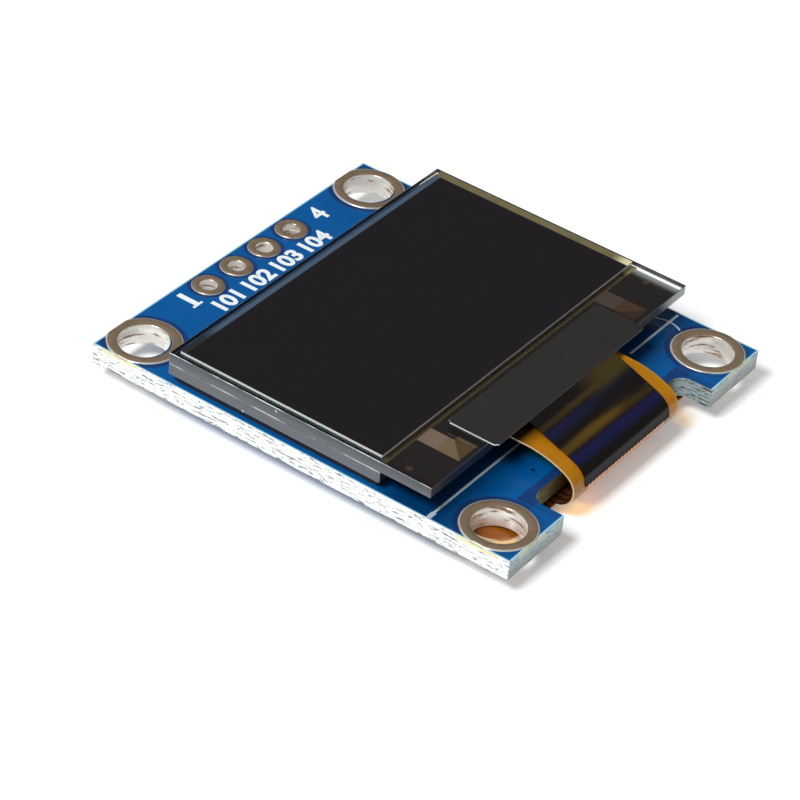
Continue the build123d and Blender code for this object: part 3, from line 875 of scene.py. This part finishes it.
sawn_glass = Recipe("sawn_glass", Roughness=0.35)
scratch = sawn_glass.noise(1.0, detail=4, stretch=(2.4, 2.4, 0.05))
high_up = sawn_glass.mix(scratch, srgb(46, 48, 53), srgb(76, 79, 85))
low_down = sawn_glass.mix(scratch, srgb(60, 62, 67), srgb(104, 106, 112))
ground = sawn_glass.mix(sawn_glass.fall(sawn_glass.z, glass_low.z, glass_high.z), high_up, low_down)
right_end = sawn_glass.step(sawn_glass.x, *(glass_high.x - distance for distance in FRONT_FADE))
# Painted shade on the front side of the ledge, and painted light at its right end.
front_light_and_shade = sawn_glass.mix(right_end, srgb(30, 34, 42), srgb(176, 184, 188))
ground = sawn_glass.mix(sawn_glass.fall(sawn_glass.facing_y, *MINUS_FACES), ground, front_light_and_shade)
# Painted light: the right side is painted pale.
ground = sawn_glass.mix(sawn_glass.step(sawn_glass.facing_x, *PLUS_FACES), ground, srgb(196, 206, 206))
nick = sawn_glass.step(sawn_glass.noise(0.5, detail=2), *NICKS)
sawn_glass.finish(Base_Color=sawn_glass.mix(nick, ground, srgb(190, 200, 206)))

glass_rim = Recipe("glass_rim", Roughness=0.3)
# Painted highlight: pale glints along the chamfers, with painted shade on those that face the front.
painted_glint = glass_rim.step(glass_rim.noise(1.3, detail=4), *GLINTS)
rim_colour = glass_rim.mix(painted_glint, srgb(96, 104, 110), srgb(205, 214, 218))
rim_front_shade = glass_rim.fall(glass_rim.facing_y, *SHADED_RIM)
glass_rim.finish(Base_Color=glass_rim.mix(rim_front_shade, rim_colour, srgb(62, 68, 76)))
for plate in (front_plate, rear_plate):
    for recipe in (clear_glass, sawn_glass, glass_rim):
        plate.data.materials.append(recipe.material)
print("glass finishes:", [slot.name for slot in front_plate.data.materials])

# %% [markdown]
# Between the plates lie the black display layers, with an olive strip along their front. Under
# the ledge lie a black chip and a black coat, which is painted grey near the right edge of the
# glass, a painted light from the clear margin there. What lies under glass is kept fully matt:
# the gloss belongs to the glass above it.

# %% Between and under the plates
BARE_STRIP = (0.55, 0.65)
COAT_FADE = (0.9, 0.25)

black = Recipe("black_display", Base_Color=srgb(38, 33, 33), Roughness=1.0, Specular_IOR_Level=0.0)
black.put_on("driver_chip")
layers = Recipe("display_layers", Roughness=1.0, Specular_IOR_Level=0.0)
bare_front = layers.fall(layers.y, *(film_low.y + distance for distance in BARE_STRIP))
layers.finish(Base_Color=layers.mix(bare_front, srgb(38, 33, 33), srgb(104, 90, 62)))
layers.put_on("display_film")
coat = Recipe("ledge_coat", Roughness=1.0, Specular_IOR_Level=0.0)
# Painted light: the coat turns grey towards the right edge of the glass.
coat_end_light = coat.step(coat.x, *(glass_high.x - distance for distance in COAT_FADE))
coat.finish(Base_Color=coat.mix(coat_end_light, srgb(36, 32, 30), srgb(168, 172, 172)))
coat.put_on("ledge_coat")
print("layers", tuple(round(v, 2) for v in film_high - film_low), "mm")

# %% [markdown]
# A frame of resin seals the layers. It is painted nearly black where the front film shades it,
# olive along the front and gold past the layers, at the right. The foam tape that holds the
# panel to the board is black, tinted a little blue as a painted reflection of the board beside it.

# %% Resin and foam
GOLD_START = (-0.3, 0.1)
OLIVE_END = (-0.1, 0.1)

seal = Recipe("seal_resin", Roughness=0.8, Specular_IOR_Level=0.1)
at_right = seal.step(seal.x, *(film_high.x + distance for distance in GOLD_START))
in_front = seal.fall(seal.y, *(film_low.y + distance for distance in OLIVE_END))
# Painted shade: the resin is nearly black where the front film shades it.
dark_resin = seal.mix(in_front, srgb(40, 38, 34), srgb(98, 84, 58))
gold_resin = seal.mix(seal.noise(0.5, detail=3), srgb(150, 132, 88), srgb(200, 184, 134))
seal.finish(Base_Color=seal.mix(at_right, dark_resin, gold_resin))
seal.put_on("edge_seal")
foam = Recipe("foam_tape", Roughness=0.9)
# Painted reflection: the black foam is tinted with the blue of the board.
foam.finish(Base_Color=foam.mix(foam.noise(0.2, detail=3), srgb(15, 26, 44), srgb(24, 38, 58)))
foam.put_on("mounting_tape")
print("resin", len(seal.tree.nodes), "nodes, foam", len(foam.tree.nodes), "nodes")

# %% [markdown]
# The front film is a sheet of plastic with a smooth face. Its cut edge is lighter, so it draws
# a thin grey line round the black window. Along the side of the pin holes the film lies past
# the black layers, and a strip of it looks blue-grey. Along the right side the resin shows
# through it, and near the ledge that strip is painted pale, a painted light.

# %% Front film
BACK_STRIP = 0.3
BACK_STRIP_BLUR = 0.04
BACK_STRIP_FADE = (1.6, 3.4)
RIGHT_STRIP = 0.5
RIGHT_STRIP_BLUR = 0.1
LEDGE_GLOW = (0.1, 1.2)
EDGE_FACES = (0.5, 0.75)

polarizer = Recipe("polarizer_film", Roughness=0.1, IOR=1.5)
strip_start = polarizer_high.y - BACK_STRIP
back_strip = polarizer.step(polarizer.y, strip_start - BACK_STRIP_BLUR, strip_start)
strip_fade = (polarizer_low.x + distance for distance in BACK_STRIP_FADE)
strip_blue = polarizer.mix(polarizer.step(polarizer.x, *strip_fade), srgb(44, 46, 46), srgb(70, 88, 106))
window = polarizer.mix(back_strip, srgb(28, 25, 29), strip_blue)
strip_left = polarizer_high.x - RIGHT_STRIP
right_strip = polarizer.step(polarizer.x, strip_left - RIGHT_STRIP_BLUR, strip_left)
# Painted light: the right strip turns pale near the ledge.
painted_ledge_light = polarizer.fall(polarizer.y, *(polarizer_low.y + distance for distance in LEDGE_GLOW))
khaki = polarizer.mix(polarizer.noise(0.8, detail=3), srgb(98, 90, 62), srgb(126, 116, 84))
khaki = polarizer.mix(painted_ledge_light, khaki, srgb(222, 216, 170))
window = polarizer.mix(right_strip, window, khaki)
cut_edge = polarizer.fall(polarizer.calc("ABSOLUTE", polarizer.facing_z), *EDGE_FACES)
polarizer.finish(Base_Color=polarizer.mix(cut_edge, window, srgb(206, 212, 213)))
polarizer.put_on("polarizer")
print("film", tuple(round(v, 2) for v in polarizer_high - polarizer_low), "mm")

# %% [markdown]
# Under the ledge of the front glass a thin black coat has two metal patches and two dots let
# into it. Each patch changes colour along its step and again along a diagonal, and the right
# patch is darker than the left.

# %% Patches and dots under the ledge
PATCH_STEP = Vector((7.75, -6.85))
PATCH_CORNER = Vector((9.14, -8.14))
BACK_START = (0.2, 0.3)
DIAGONAL_BLUR = 0.03
MIDLINE = (-1, 1)

patch = Recipe("patch_metal", Roughness=0.9, Specular_IOR_Level=0.0)
span = PATCH_CORNER - PATCH_STEP
from_middle = patch.calc("ABSOLUTE", patch.x)
across = patch.calc("DIVIDE", patch.calc("SUBTRACT", from_middle, PATCH_STEP.x), span.x)
along = patch.calc("DIVIDE", patch.calc("SUBTRACT", patch.y, PATCH_STEP.y), span.y)
outer_side = patch.step(patch.calc("SUBTRACT", across, along), -DIAGONAL_BLUR, DIAGONAL_BLUR)
back_part = patch.step(patch.y, *(PATCH_STEP.y + distance for distance in BACK_START))
right_patch = patch.step(patch.x, *MIDLINE)
front_left = patch.mix(outer_side, srgb(88, 72, 48), srgb(122, 106, 76))
front_right = patch.mix(outer_side, srgb(62, 46, 34), srgb(78, 58, 40))
back_left = patch.mix(patch.noise(0.3, detail=3), srgb(138, 118, 102), srgb(124, 106, 94))
front_colour = patch.mix(right_patch, front_left, front_right)
back_colour = patch.mix(right_patch, back_left, srgb(84, 68, 66))
patch.finish(Base_Color=patch.mix(back_part, front_colour, back_colour))
patch.put_on("ledge_patch_left", "ledge_patch_right")
dot = Recipe("dot_metal", Roughness=0.9, Specular_IOR_Level=0.0)
dot.finish(Base_Color=dot.mix(dot.noise(0.1), srgb(88, 60, 46), srgb(72, 50, 40)))
dot.put_on("alignment_mark_left", "alignment_mark_right")
print("patch diagonal spans", tuple(round(v, 2) for v in span))

# %% [markdown]
# The tape over the ledge is satin black. Its left cut is painted white and its front cut grey,
# painted highlights where the light meets its edges.

# %% Tape over the ledge
tape = Recipe("shield_tape", Roughness=0.45)
left_cut_highlight = tape.fall(tape.facing_x, *MINUS_FACES)
front_cut_highlight = tape.fall(tape.facing_y, *MINUS_FACES)
tape_colour = tape.mix(tape.noise(0.4, detail=4), srgb(40, 36, 36), srgb(50, 46, 45))
# Painted highlights: the cut edges of the tape are painted grey and white.
tape_colour = tape.mix(front_cut_highlight, tape_colour, srgb(92, 92, 94))
tape.finish(Base_Color=tape.mix(left_cut_highlight, tape_colour, srgb(228, 232, 234)))
tape.put_on("shield_tape")
print("tape finish:", len(tape.tree.nodes), "nodes")

# %% [markdown]
# Polyimide film is clear amber, so light passes through it and colours what lies behind. A
# share of plain transparency, tinted amber, lets lamp light through to the floor without the
# noise that bent rays would bring. The rest is a glossy amber surface. Low down it is painted
# pale, a painted reflection of the floor. Left of the dark film it is painted dark beside the
# tape, a painted shadow of the tape. Its low faces that look up, inside the fold and under the
# board, are painted dark brown for their shade, and inside the fold its tracks show as brown
# stripes. Its cut sides are painted cream, a painted highlight.

# %% Amber polyimide
SHADOW_SHARE = 0.85
OPEN_SHARE = 0.4
INSIDE_SHARE = 0.05
TRACK_PITCH = 0.5
TAPE_SHADE = (1.5, 0.4)
TAPE_SHARE = 0.9
SHADE_SIDE = (-4.0, 0.0)
IN_FOLD = (6.0, 8.2)
STRIPE_BLUR = 0.3
FLOOR_REFLECTION_BELOW = (0.1, 1.3)
INSIDE_BELOW = (0.8, 1.1)
SIDE_FACES = (0.6, 0.8)
UPPER_FACES = (0.0, 0.3)

amber = Recipe("polyimide", Roughness=0.25)
amber_face = amber.mix(amber.noise(1.2, detail=3), srgb(180, 118, 12), srgb(210, 148, 28))
# Painted reflection: the film is painted pale low down, where it would mirror the floor.
amber_face = amber.mix(amber.fall(amber.z, *FLOOR_REFLECTION_BELOW), amber_face, srgb(218, 160, 108))
# Painted shadow: the film is painted dark beside the tape, left of the dark film.
tape_shadow = amber.calc(
    "MULTIPLY",
    amber.step(amber.y, *(glass_low.y - distance for distance in TAPE_SHADE), 0.0, TAPE_SHARE),
    amber.fall(amber.x, *SHADE_SIDE),
)
amber_face = amber.mix(tape_shadow, amber_face, srgb(30, 20, 10))
stripe = amber.calc("SINE", amber.calc("MULTIPLY", amber.x, 2 * math.pi / TRACK_PITCH))
# Painted shade: upward faces low down are painted dark brown, with the tracks as stripes.
shaded_tracks = amber.mix(amber.step(stripe, -STRIPE_BLUR, STRIPE_BLUR), srgb(44, 24, 14), srgb(88, 42, 22))
in_fold = amber.fall(amber.calc("ABSOLUTE", amber.x), *IN_FOLD)
inside_shade_and_tracks = amber.mix(in_fold, srgb(138, 74, 14), shaded_tracks)
facing_up = amber.step(amber.facing_z, *UPPER_FACES)
inner_face = amber.calc("MULTIPLY", facing_up, amber.fall(amber.z, *INSIDE_BELOW))
amber_face = amber.mix(inner_face, amber_face, inside_shade_and_tracks)
# Painted highlight: the cut sides of the film are painted cream.
side_highlight = amber.step(amber.calc("ABSOLUTE", amber.facing_x), *SIDE_FACES)
amber.finish(Base_Color=amber.mix(side_highlight, amber_face, srgb(255, 232, 190)))
seen_share = amber.step(inner_face, 0.0, 1.0, OPEN_SHARE, INSIDE_SHARE)
lit_share = amber.calc("MULTIPLY", amber.ray("Is Shadow Ray"), SHADOW_SHARE)
amber.clear_where(amber.calc("MAXIMUM", seen_share, lit_share), srgb(255, 222, 60))
amber.put_on("flex_circuit")
print("amber finish:", len(amber.tree.nodes), "nodes")

# %% [markdown]
# Soft navy and gold bands run across the dark film over the fold, a painted sheen. The bands
# follow the distance down the fold, with a slow noise added to that distance so that they
# wander. Each band is written as the four distances where it starts, is full, starts to fade
# and ends.

# %% Dark film
UPPER_NAVY = (8.45, 8.9, 9.1, 9.6)
LOWER_NAVY = (10.75, 11.05, 11.2, 11.7)
THIN_GOLD = (7.9, 8.2, 8.3, 8.7)
OLIVE_CORNER = (6.0, 7.0, 8.4, 9.2)
GOLD = (9.8, 10.3, 10.45, 10.9)
WANDER = 0.9
HEIGHT_SHARE = 0.5
FILM_GLOSS = 0.22
GLOSSY_FACES = (0.0, 0.6)
THIN_GOLD_SHARE = 0.7
FAINT_NAVY = 0.3
PATCHES = (0.22, 0.55)
LEFT_HALF = (-1.5, 1.5)
RIGHT_HALF = (-0.5, 2.5)

film = Recipe("dark_film", Roughness=0.16)
film.finish(Specular_IOR_Level=film.step(film.facing_z, *GLOSSY_FACES, 0.0, FILM_GLOSS))
by_height = film.calc("MULTIPLY", film.z, -HEIGHT_SHARE)
down = film.calc("ADD", film.calc("MULTIPLY", film.y, -1.0), by_height)
wander = film.calc("SUBTRACT", film.noise(2.2, detail=2, stretch=(4.5, 0.8, 0.8)), 0.5)
down = film.calc("ADD", down, film.calc("MULTIPLY", wander, WANDER))
patchy = film.step(film.noise(1.5, detail=2, stretch=(4, 0.7, 0.7)), *PATCHES)
left_half = film.step(film.x, *LEFT_HALF, 1.0, FAINT_NAVY)
right_half = film.step(film.x, *RIGHT_HALF)
# Painted sheen: soft navy and gold bands across the dark film.
sheen_bands = (
    (UPPER_NAVY, left_half, srgb(27, 28, 56)),
    (LOWER_NAVY, 1.0, srgb(26, 28, 64)),
    (THIN_GOLD, film.calc("MULTIPLY", patchy, THIN_GOLD_SHARE), srgb(70, 56, 26)),
    (OLIVE_CORNER, right_half, srgb(64, 54, 28)),
    (GOLD, patchy, srgb(86, 66, 24)),
)
film_colour = srgb(25, 21, 21)
for distances, share, colour in sheen_bands:
    strength = film.calc("MULTIPLY", film.band(down, *distances), share)
    film_colour = film.mix(strength, film_colour, colour)
film.finish(Base_Color=film_colour)
film.put_on("flex_film")
print("dark film:", len(sheen_bands), "bands")

# %% [markdown]
# At the bottom of the fold the dark film ends, and the copper tracks lie bare. Bare copper is a
# pale orange metal. A low metallic share keeps it light where it mirrors the dark room.

# %% Bare copper
copper = Recipe("bare_copper", Metallic=0.4, Roughness=0.35)
copper.finish(Base_Color=copper.mix(copper.noise(0.6, detail=2), srgb(255, 200, 168), srgb(236, 160, 124)))
copper.put_on("flex_tracks")

# %% [markdown]
# The back carries small parts that were soldered by machine. Each kind gets the finish of its
# real material: tan or black ceramic between bright end caps, a moulded black body, and solder.

# %% Back of the board
SOLDER_ROUGHNESS = (0.2, 0.4)

solder = Recipe("solder", Metallic=1.0, Base_Color=srgb(205, 206, 208))
solder_noise = solder.noise(0.2, detail=3)
solder.finish(Roughness=solder.step(solder_noise, *MOST_NOISE, *SOLDER_ROUGHNESS))
solder.put_on("flex_lands", "flex_solder", "part_lands", "regulator_leads")
ceramics = {
    "capacitor": Recipe("capacitor_ceramic", Base_Color=srgb(176, 148, 112), Roughness=0.6),
    "resistor": Recipe("resistor_glaze", Base_Color=srgb(22, 22, 24), Roughness=0.35),
}
chips = [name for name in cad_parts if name.split("_")[0] in ceramics]
for name in chips:
    finish = ceramics[name.split("_")[0]] if name.endswith("_body") else solder
    finish.put_on(name)
Recipe("moulding", Base_Color=srgb(26, 26, 27), Roughness=0.5).put_on("regulator_body")
print("chips:", len(chips), "bodies and pairs of end caps")

# %% [markdown]
